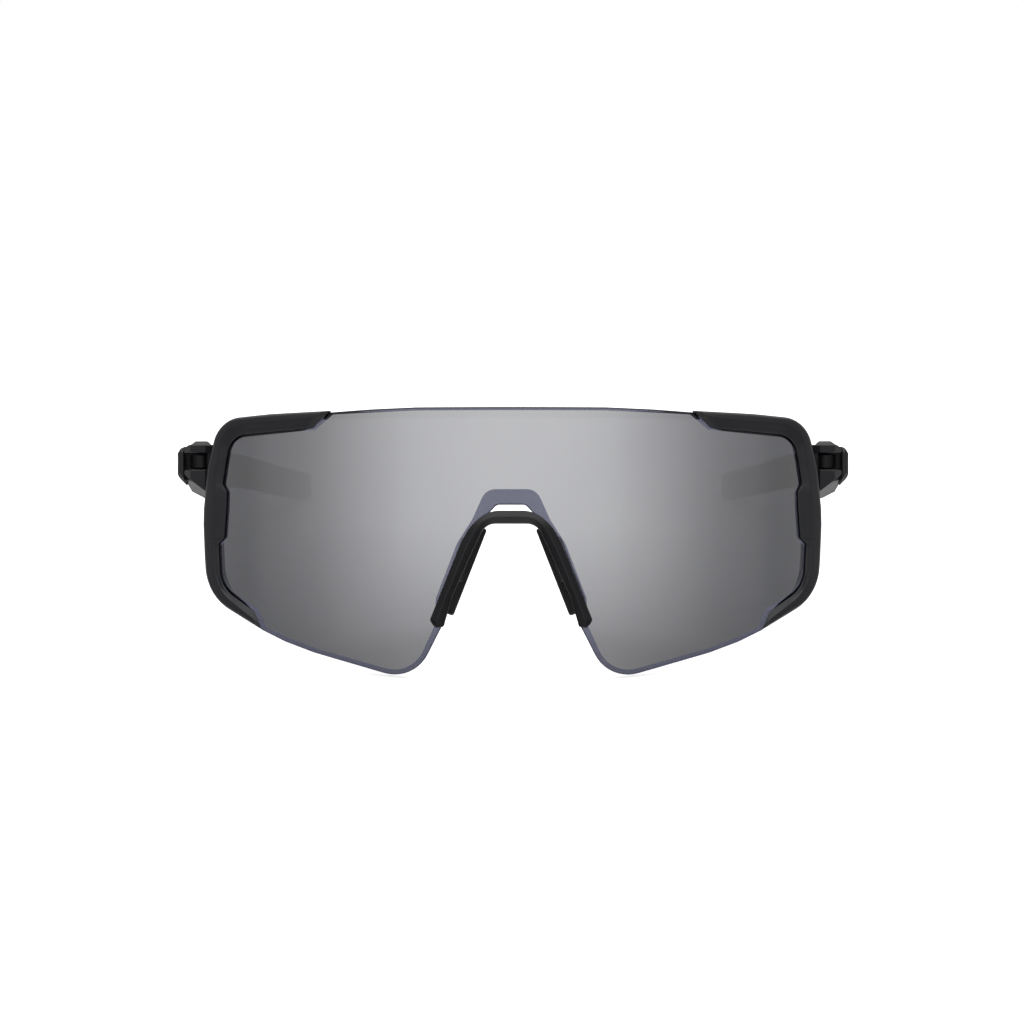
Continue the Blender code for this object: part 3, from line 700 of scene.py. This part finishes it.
def make_frame():
    rim = combined(make_rim_half(), [make_brow(), mirror_edit(make_rim_half())], "UNION")
    wide = [face for face in rim.faces if len(face.verts) > 4]
    bmesh.ops.triangulate(rim, faces=wide)
    piece = finished("frame_rim", rim, [FRAME_PLASTIC], flat=True, crisp=28)
    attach(piece, "front")
    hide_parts("frame")
    for side, sign in (("left", 1), ("right", -1)):
        make_fork(side, sign)


def make_fork(side, sign):
    """The fork of the hinge, moulded onto the side of the rim."""
    upper = plate(rounded(FORK_OUTLINE, 8), FORK_UPPER, FORK_TOP, rim=0.35)
    lower = plate(rounded(FORK_OUTLINE, 8), FORK_FOOT, FORK_LOWER, rim=0.35)
    for vertex in lower.verts:
        share = 1 - blend(vertex.co.z, FORK_FOOT + 0.4, FORK_LOWER - 0.4)
        vertex.co.z += (vertex.co.x - FORK_SLOPE_START) * FORK_SLOPE * share
    shoulder = loft([[(x, y, z) for x, z in FORK_SHOULDER] for y in (30.0, 50.0)])
    upper = combined(upper, [shoulder], "DIFFERENCE")
    root = plate(rounded(ROOT_OUTLINE, 8), 40.0, FORK_TOP - 0.9, rim=0.3)
    fork = combined(upper, [lower, root], "UNION")
    bores = [
        cylinder(SHAFT_RADIUS + GAP, 38.0, 48.0, HINGE_X, HINGE_Y),
        cylinder(SCREW_RADIUS + GAP, 37.0, SCREW_TOP + GAP, HINGE_X, HINGE_Y),
        cylinder(INSERT_RADIUS + GAP, 47.0, 48.6, HINGE_X, HINGE_Y),
    ]
    fork = combined(fork, bores, "DIFFERENCE")
    if sign < 0:
        fork = mirror_edit(fork)
    piece = finished(f"{side}_hinge_fork", fork, [FRAME_PLASTIC])
    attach(piece, "front")
    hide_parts("frame")


# --- the nose bridge and pads ---------------------------------------------------------------------

def bridge_profile(width, pocket):
    """Cross-section of the bridge: distance from its outer edge, and height above the lens face."""
    ridge = 0.5 * width
    pocket = min(max(pocket, 0.03), width - 0.6)
    front = [
        (0.02, LIP + 0.1), (0.0, 0.62), (0.06, 0.86), (0.22, 1.02), (ridge - 0.32, 1.42),
        (ridge - 0.12, 1.54), (ridge + 0.06, 1.55), (ridge + 0.24, 1.46), (width - 0.42, 1.02),
        (width - 0.16, 0.84), (width - 0.03, 0.6), (width, 0.3),
    ]
    back = [
        (width, BRIDGE_BACK + 0.4), (width - 0.12, BRIDGE_BACK + 0.12), (width - 0.4, BRIDGE_BACK),
        (0.4, BRIDGE_BACK), (0.12, BRIDGE_BACK + 0.12), (0.0, BRIDGE_BACK + 0.4), (0.0, BROW_FRONT - 0.1),
        (0.02, BROW_FRONT), (pocket, BROW_FRONT), (pocket, LIP), (0.03, LIP),
    ]
    return front + back


def make_bridge():
    """The clip-on saddle: a ridged band that grips the nose edge of the lens."""
    pairs = stations(BRIDGE_OUTER, BRIDGE_INNER, BRIDGE_STATIONS)
    pairs += [(np.array(outer), np.array(inner)) for outer, inner in BRIDGE_END]
    rings = []
    for outer, inner in pairs:
        width = float(np.linalg.norm(inner - outer))
        meets = crossing(outer, inner, LENS_EDGES)
        profile = bridge_profile(width, (meets or 0.0) + (GAP if meets else 0.0))
        rings.append(across_band(outer, inner, profile))
    other = [[(-x, z, out) for x, z, out in ring] for ring in rings[:0:-1]]
    band = finished("nose_bridge_band", loft(other + rings), [BRIDGE_PLASTIC], flat=True, crisp=30)
    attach(band, "front")
    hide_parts("nose_bridge")
    for side, sign in (("left", 1), ("right", -1)):
        make_pad_mount(side, sign)
        make_pad(side, sign)


def make_pad_mount(side, sign):
    """The boss that carries the pad's pivot pin."""
    corners = [(PIN_X + x, PIN_Z + z, 0.5) for x, z in BOSS_CORNERS]
    boss = turned_back(plate(rounded(corners, 4), BOSS_FRONT, PAD_FRONT - PAD_CLEARANCE, rim=0.3))
    if sign < 0:
        boss = mirror_edit(boss)
    piece = finished(f"{side}_pad_mount", boss, [BRIDGE_PLASTIC])
    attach(piece, "front")
    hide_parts("nose_bridge")


def pad_ring(y):
    """A slat-shaped cross-section with shallow grip grooves on the side that faces the nose."""
    depth = y - PAD_FRONT
    end = min(depth, PAD_BACK - PAD_FRONT - depth)
    trim = 0.45 * (1 - min(end / 0.5, 1.0)) ** 2
    centre = Vector((PIN_X + PAD_OFFSET[0] + depth * PAD_SPLAY, PIN_Z + PAD_OFFSET[1]))
    length = PAD_HALF_LENGTH - 0.05 * depth * depth - trim
    thick = PAD_HALF_THICKNESS - trim
    corners = [(length, thick, 0.5), (-length, thick, 0.5), (-length, -thick, 0.5), (length, -thick, 0.5)]
    outline = rounded(corners, 3)
    inner_side = []
    for up in between(PAD_END_MARGIN - length, length - PAD_END_MARGIN, 60):
        groove = 0.0
        if abs(up) < GROOVE_REACH and end > PAD_END_MARGIN:
            groove = GROOVE_DEPTH * (0.5 - 0.5 * math.cos(2 * math.pi * up / GROOVE_PITCH))
        inner_side.append((up, groove - thick))
    outline = outline[:12] + inner_side + outline[12:]
    ring = []
    for up, out in outline:
        point = centre + Vector(PAD_ALONG) * up + Vector(PAD_ACROSS) * out
        ring.append((point.x, y, point.y))
    return ring


def make_pad(side, sign):
    """The thin rubber slat, with the hub that turns on its pin."""
    steps = [0.0, 0.1, 0.25, 0.5, *between(0.9, PAD_BACK - PAD_FRONT - 0.9, 18)]
    steps += [PAD_BACK - PAD_FRONT - step for step in (0.5, 0.25, 0.1, 0.0)]
    pad = loft([pad_ring(PAD_FRONT + step) for step in steps])
    corners = [(PIN_X + HUB_RADIUS * x, PIN_Z + HUB_RADIUS * z, 0.98 * HUB_RADIUS)
               for x, z in ((-1, -1), (1, -1), (1, 1), (-1, 1))]
    hub = turned_back(plate(rounded(corners, 6), PAD_FRONT, PAD_FRONT + HUB_DEPTH, 0.2))
    pad = combined(pad, [hub], "UNION")
    if sign < 0:
        pad = mirror_edit(pad)
    piece = finished(f"{side}_pad_slat", pad, [RUBBER], crisp=50)
    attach(piece, f"{side}_pad")
    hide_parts(f"{side}_nose_pad")


# --- the temples ----------------------------------------------------------------------------------

def arm_middle(y):
    return ARM_CENTRE - ARM_SWEEP * max((y - ARM_FRONT) / (TIP_END - ARM_FRONT), 0) ** ARM_BOW


def arm_half_thickness(y):
    return 3.5 - 1.5 * blend(y, 47, 64) + 0.4 * blend(y, 104, 125)


def taper(y, end):
    """How much of the front taper is left, from 1 at the arm's front to 0 at its end."""
    return max(0.0, (end - y) / (end - ARM_FRONT))


def arm_top(y):
    return 50.2 - 0.8 * taper(y, 49) - 1.9 * blend(y, 50, 76) - 4.3 * blend(y, 96, 172)


def arm_bottom(y):
    return 37.2 + 3.2 * taper(y, 54) + 2.8 * blend(y, 54, 76) - 3.2 * blend(y, 100, 172)


def arm_ring(y, inset=0.0, groove=0.0):
    """The temple's outline across. Groove is a cut in its two sides."""
    top = arm_top(y) - inset
    low = arm_bottom(y) + inset
    half_width = arm_half_thickness(y) - inset
    half_height = (top - low) / 2
    middle = (top + low) / 2
    corners = []
    for across, up, radius in ARM_SECTION:
        x = across * half_width
        if across > 0.9:
            x -= groove
        elif across < -0.9:
            x += groove
        corners.append((x, up * half_height, radius * (1 - 0.25 * inset)))
    return [(arm_middle(y) + x, y, middle + z) for x, z in rounded(corners, 3)]


def cheek_ring(y, out, low, top):
    """The outline across of the cheek that runs forward over the fork."""
    corners = [(CHEEK_INNER, top, 0.15), ((CHEEK_INNER + out) / 2, top - 0.3, 0.3), (out, top - 1.4, 0.5),
               (out, low + 1.6, 0.5), (CHEEK_INNER, low, 0.1)]
    return [(x, y, z) for x, z in rounded(corners, 3)]


def make_arm(side, sign):
    """The temple with its hinge neck, its cheek, the bore of the hinge and the inlaid badge."""
    steps = [ARM_FRONT, 45.4, 45.6, 46.6, 47.4, 48.2, 49.0, *between(50.0, ARM_END - 0.5, 58)]
    steps += [ARM_END - 0.15, ARM_END]
    rings = []
    for y in steps:
        inset = {ARM_FRONT: 0.35, 45.4: 0.15, ARM_END - 0.15: 0.08, ARM_END: 0.25}.get(y, 0.0)
        rings.append(arm_ring(y, inset))
    arm = loft(rings)
    neck = plate(rounded(NECK_OUTLINE, 10), FORK_LOWER + GAP, FORK_UPPER - GAP, rim=0.25)
    cheek = loft([cheek_ring(*ring) for ring in CHEEK_RINGS])
    arm = combined(arm, [neck, cheek], "UNION")
    recess = badge_body(BADGE_START - GAP, BADGE_END + GAP, BADGE_THICKNESS + GAP, -1.0, GAP, 0.5)
    shaft = cylinder(BUSHING_RADIUS + GAP, 42.0, 48.0, HINGE_X, HINGE_Y)
    arm = combined(arm, [recess, shaft], "DIFFERENCE")
    badge = badge_body(BADGE_START, BADGE_END, BADGE_THICKNESS, 0.05, 0.0, 0.35)
    if sign < 0:
        arm = mirror_edit(arm)
        badge = mirror_edit(badge)
    piece = finished(f"{side}_temple", arm, [ARM_PLASTIC], crisp=26)
    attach(piece, f"{side}_temple")
    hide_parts(f"{side}_temple_arm")
    plain = finished(f"{side}_blank_badge", badge, [BADGE])
    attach(plain, f"{side}_temple")
    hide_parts(f"{side}_temple_badge")


def badge_body(start, end, depth, top, grow, corner):
    """A thin plate let into the outer side of the temple, following its curve."""
    half = BADGE_HALF_HEIGHT + grow
    corners = [(start, -half, corner), (end, -half, corner), (end, half, corner), (start, half, corner)]
    body = plate(rounded(corners, 4), 0.0, 1.0, rim=0.0)
    for y in between(start + 0.8, end - 0.8, 10):
        every = body.verts[:] + body.edges[:] + body.faces[:]
        bmesh.ops.bisect_plane(body, geom=every, dist=0.0005, plane_co=(y, 0, 0), plane_no=(1, 0, 0))
    for vertex in body.verts:
        y, up, share = vertex.co
        outer = arm_middle(y) + arm_half_thickness(y)
        middle = (arm_top(y) + arm_bottom(y)) / 2 + 0.05
        vertex.co = (outer - depth if share < 0.5 else outer - top, y, middle + up)
    bmesh.ops.recalc_face_normals(body, faces=body.faces)
    return body


def make_grip(side, sign):
    """The rubber tip: side grooves for grip, a rounded end, and the flat it stands on."""
    steps = [ARM_END + GAP, ARM_END + GAP + 0.15, *between(109.0, 157.0, 120), 158.0, 158.8, 159.4, 159.8]
    steps.append(TIP_END)
    rings = []
    for y in steps:
        groove = 0.0
        if GRIP_START < y < GRIP_END:
            wave = math.cos(2 * math.pi * (y - GRIP_START) / GRIP_PITCH)
            groove = GRIP_DEPTH * max(0.0, wave - 0.2)
        inset = {
            ARM_END + GAP: 0.3, ARM_END + GAP + 0.15: 0.1, 158.0: 0.2, 158.8: 0.5, 159.4: 0.9, 159.8: 1.3,
            TIP_END: 1.7,
        }.get(y, 0.0)
        rings.append(arm_ring(y, inset, groove))
    grip = loft(rings)
    inverse = WORN.inverted()
    floor_point = inverse @ Vector((0, 0, 0))
    down = (inverse.to_3x3() @ Vector((0, 0, -1))).normalized()
    every = grip.verts[:] + grip.edges[:] + grip.faces[:]
    cut = bmesh.ops.bisect_plane(grip, geom=every, plane_co=floor_point, plane_no=down, clear_outer=True)
    rim = [item for item in cut["geom_cut"] if isinstance(item, bmesh.types.BMEdge)]
    if rim:
        bmesh.ops.edgenet_fill(grip, edges=rim)
    bmesh.ops.recalc_face_normals(grip, faces=grip.faces)
    if sign < 0:
        grip = mirror_edit(grip)
    piece = finished(f"{side}_rubber_tip", grip, [RUBBER], crisp=40)
    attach(piece, f"{side}_temple")
    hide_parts(f"{side}_temple_grip")


# --- screws ---------------------------------------------------------------------------------------

def make_screw(side, sign):
    """The hinge screw, with a six-sided socket in its head."""
    count = 36

    def ring(radius, z, sides=0):
        points = []
        for index in range(count):
            angle = 2 * math.pi * index / count
            reach = radius
            if sides:
                sector = math.pi / sides
                reach = radius * math.cos(sector) / math.cos((angle % (2 * sector)) - sector)
            points.append((HINGE_X + reach * math.cos(angle), HINGE_Y + reach * math.sin(angle), z))
        return points

    rings = [
        ring(0.12, SCREW_BOTTOM + 0.55), ring(0.75, SCREW_BOTTOM + 0.5, 6),
        ring(0.8, SCREW_BOTTOM + 0.04, 6), ring(1.0, SCREW_BOTTOM), ring(1.3, SCREW_BOTTOM),
        ring(1.5, SCREW_BOTTOM + 0.1), ring(SCREW_RADIUS, SCREW_BOTTOM + 0.3),
        ring(SCREW_RADIUS, SCREW_TOP - 0.08), ring(SCREW_RADIUS - 0.08, SCREW_TOP),
        ring(SHAFT_RADIUS, SCREW_TOP),
    ]
    for z in between(SCREW_TOP + 0.3, 48.0, 30):
        rings.append(ring(SHAFT_RADIUS, z))
        rings.append(ring(SHAFT_RADIUS - 0.08, z + 0.12))
    rings.append(ring(SHAFT_RADIUS - 0.2, 48.3))
    screw = loft(rings)
    if sign < 0:
        screw = mirror_edit(screw)
    piece = finished(f"{side}_socket_screw", screw, [STEEL])
    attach(piece, "front")
    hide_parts(f"{side}_hinge_screw")


def finish_hidden_nodes():
    """The small pieces whose CAD shape is right keep it, with a proper material."""
    for side in ("left", "right"):
        for node, material in (("pad_pivot_pin", STEEL), ("hinge_insert", BRASS), ("temple_core_wire", STEEL),
                               ("hinge_bushing", ACETAL)):
            obj = frame["nodes"][f"{side}_{node}"]
            for slot in obj.material_slots:
                slot.material = material


# --- stage ----------------------------------------------------------------------------------------

def make_floor():
    """A pale floor that fades out into the white of the studio."""
    edit = bmesh.new()
    bmesh.ops.create_grid(edit, x_segments=2, y_segments=2, size=1.6)
    mesh = bpy.data.meshes.new("floor")
    edit.to_mesh(mesh)
    edit.free()
    floor = bpy.data.objects.new("floor", mesh)
    bpy.context.scene.collection.objects.link(floor)
    floor.location = (0, 0, -0.0002)
    floor.visible_glossy = False
    material = bpy.data.materials.new("pale_floor")
    material.use_nodes = True
    tree = material.node_tree
    shader = tree.nodes["Principled BSDF"]
    shader.inputs["Base Color"].default_value = (0.6, 0.6, 0.6, 1)
    shader.inputs["Roughness"].default_value = 0.9
    shader.inputs["Emission Color"].default_value = (1, 1, 1, 1)
    shader.inputs["Emission Strength"].default_value = 0.75
    place = tree.nodes.new("ShaderNodeTexCoord")
    reach = tree.nodes.new("ShaderNodeVectorMath")
    reach.operation = "LENGTH"
    fade = tree.nodes.new("ShaderNodeMapRange")
    fade.interpolation_type = "SMOOTHSTEP"
    fade.inputs["From Min"].default_value = 0.16
    fade.inputs["From Max"].default_value = 0.34
    fade.inputs["To Min"].default_value = 1.0
    fade.inputs["To Max"].default_value = 0.0
    tree.links.new(place.outputs["Object"], reach.inputs[0])
    tree.links.new(reach.outputs["Value"], fade.inputs["Value"])
    tree.links.new(fade.outputs["Result"], shader.inputs["Alpha"])
    mesh.materials.append(material)


# Brightness of the studio. The first number is a share: azimuth, from the front round to the back, or level,
# from straight down to straight up.
PANEL = [                        # by azimuth
    (0.0, 0.583), (0.10, 0.562), (0.165, 0.518), (0.205, 0.457), (0.25, 0.387), (0.295, 0.317),
    (0.34, 0.252), (0.39, 0.204), (0.44, 0.173), (0.50, 0.138), (0.62, 0.20), (0.80, 0.32), (1.0, 0.45),
]
PANEL_HEIGHT = [                 # by level
    (0.0, 0.5), (0.20, 0.40), (0.33, 0.36), (0.40, 0.38), (0.434, 0.45), (0.45, 0.615), (0.467, 0.79),
    (0.485, 0.93), (0.50, 1.0), (0.54, 1.03), (0.60, 0.75), (0.68, 0.45), (0.80, 0.35), (1.0, 0.5),
]
SKY = [                          # by level
    (0.0, 0.35), (0.25, 0.20), (0.36, 0.05), (0.43, 0.0), (0.58, 0.0), (0.68, 0.35), (0.80, 1.0), (1.0, 1.0),
]
BEHIND = [(0.0, 0.0), (0.60, 0.0), (0.80, 0.8), (1.0, 1.0)]                      # by azimuth
GROUND = [(0.0, 0.3), (0.20, 1.0), (0.33, 1.0), (0.42, 0.0), (1.0, 0.0)]         # by level
SKY_STRENGTH = 0.9
BOUNCE_STRENGTH = 0.85
PANEL_TURN = 0.0175              # radians by which the bright area is turned to one side
AZIMUTH_SHARE = 1.05 / math.pi


class World:
    """The studio: white to the camera, and in reflections bright in front and dark at the sides."""

    def __init__(self):
        world = bpy.data.worlds.new("studio")
        world.use_nodes = True
        bpy.context.scene.world = world
        self.tree = world.node_tree
        self.tree.nodes.clear()
        self.direction = self.tree.nodes.new("ShaderNodeTexCoord").outputs["Generated"]

    def math(self, operation, first, second=None):
        node = self.tree.nodes.new("ShaderNodeMath")
        node.operation = operation
        for socket, value in zip(node.inputs, (first, second)):
            if value is None:
                continue
            if isinstance(value, (int, float)):
                socket.default_value = value
            else:
                self.tree.links.new(value, socket)
        return node.outputs["Value"]

    def dot(self, vector):
        node = self.tree.nodes.new("ShaderNodeVectorMath")
        node.operation = "DOT_PRODUCT"
        self.tree.links.new(self.direction, node.inputs[0])
        node.inputs[1].default_value = vector
        return node.outputs["Value"]

    def curve(self, source, points):
        """A piecewise smooth function of one value."""
        node = self.tree.nodes.new("ShaderNodeFloatCurve")
        track = node.mapping.curves[0]
        for index, (x, y) in enumerate(points):
            if index < 2:
                track.points[index].location = (x, y)
            else:
                track.points.new(x, y)
        node.mapping.use_clip = True
        node.mapping.update()
        self.tree.links.new(source, node.inputs["Value"])
        return node.outputs["Value"]

    def build(self):
        turn = WORN.to_3x3() * (1 / MM)
        side = self.dot(turn @ Vector((1, 0, 0)))
        front = self.dot(turn @ Vector((0, -1, 0)))
        up = self.dot(turn @ Vector((0, 0, 1)))
        azimuth = self.math("ADD", self.math("ARCTAN2", side, front), PANEL_TURN)
        azimuth = self.math("ABSOLUTE", self.math("MULTIPLY", azimuth, AZIMUTH_SHARE))
        level = self.math("DIVIDE", self.math("ARCSINE", up), math.pi)
        level = self.math("ADD", level, 0.5)
        panel = self.curve(azimuth, PANEL)
        height = self.curve(level, PANEL_HEIGHT)
        sky = self.curve(level, SKY)
        behind = self.curve(azimuth, BEHIND)
        ground = self.curve(level, GROUND)
        bounce = self.math("MULTIPLY", self.math("MULTIPLY", behind, ground), BOUNCE_STRENGTH)
        overhead = self.math("MULTIPLY", sky, SKY_STRENGTH)
        glow = self.math("ADD", self.math("MULTIPLY", panel, height), overhead)
        glow = self.math("ADD", glow, bounce)
        path = self.tree.nodes.new("ShaderNodeLightPath")
        seen = self.math("MAXIMUM", path.outputs["Is Camera Ray"], path.outputs["Is Transmission Ray"])
        mix = self.tree.nodes.new("ShaderNodeMix")
        mix.data_type = "FLOAT"
        self.tree.links.new(seen, mix.inputs[0])
        self.tree.links.new(glow, mix.inputs[2])
        mix.inputs[3].default_value = 1.0
        light = self.tree.nodes.new("ShaderNodeBackground")
        light.inputs["Color"].default_value = (1, 1, 1, 1)
        self.tree.links.new(mix.outputs[0], light.inputs["Strength"])
        out = self.tree.nodes.new("ShaderNodeOutputWorld")
        self.tree.links.new(light.outputs["Background"], out.inputs["Surface"])


def make_light(name, place, target, size, power):
    """A square softbox, placed and aimed in the row frame."""
    data = bpy.data.lights.new(name, "AREA")
    data.shape = "SQUARE"
    data.size = size
    data.energy = power
    light = bpy.data.objects.new(name, data)
    bpy.context.scene.collection.objects.link(light)
    light.location = place
    light.rotation_euler = (Vector(target) - Vector(place)).to_track_quat("-Z", "Y").to_euler()
    light.visible_camera = False
    light.visible_glossy = False


def make_stage():
    make_floor()
    World().build()
    make_light("top_softbox", (0, 0.05, 0.9), (0, 0, 0), 1.2, 9.0)


CAMERA_DISTANCE = 650.0          # from the foremost point of the lens
CAMERA_HEIGHT = 34.2
CAMERA_SHIFT = 5.65              # to the wearer's left
CAMERA_TURN = 0.0084             # how much the view runs back towards the mid-plane
PICTURE_WIDTH = 215.0            # what the picture spans at the lens


def make_camera():
    data = bpy.data.cameras.new("camera")
    data.sensor_width = 36.0
    data.lens = data.sensor_width * CAMERA_DISTANCE / PICTURE_WIDTH
    data.clip_start = 0.01
    data.clip_end = 20.0
    camera = bpy.data.objects.new("camera", data)
    bpy.context.scene.collection.objects.link(camera)
    turn = WORN.to_3x3() * (1 / MM)
    ahead = (turn @ Vector((-CAMERA_TURN, 1, 0))).normalized()
    up = turn @ Vector((0, 0, 1))
    side = ahead.cross(up).normalized()
    up = side.cross(ahead)
    place = WORN @ Vector((CAMERA_SHIFT, -CAMERA_DISTANCE, CAMERA_HEIGHT))
    camera.matrix_world = Matrix.Translation(place) @ Matrix((side, up, -ahead)).transposed().to_4x4()
    bpy.context.scene.camera = camera


make_lens()
make_frame()
make_bridge()
for side, sign in (("left", 1), ("right", -1)):
    make_arm(side, sign)
    make_grip(side, sign)
    make_screw(side, sign)
finish_hidden_nodes()
make_camera()
make_stage()
bpy.context.scene.view_settings.view_transform = "Standard"
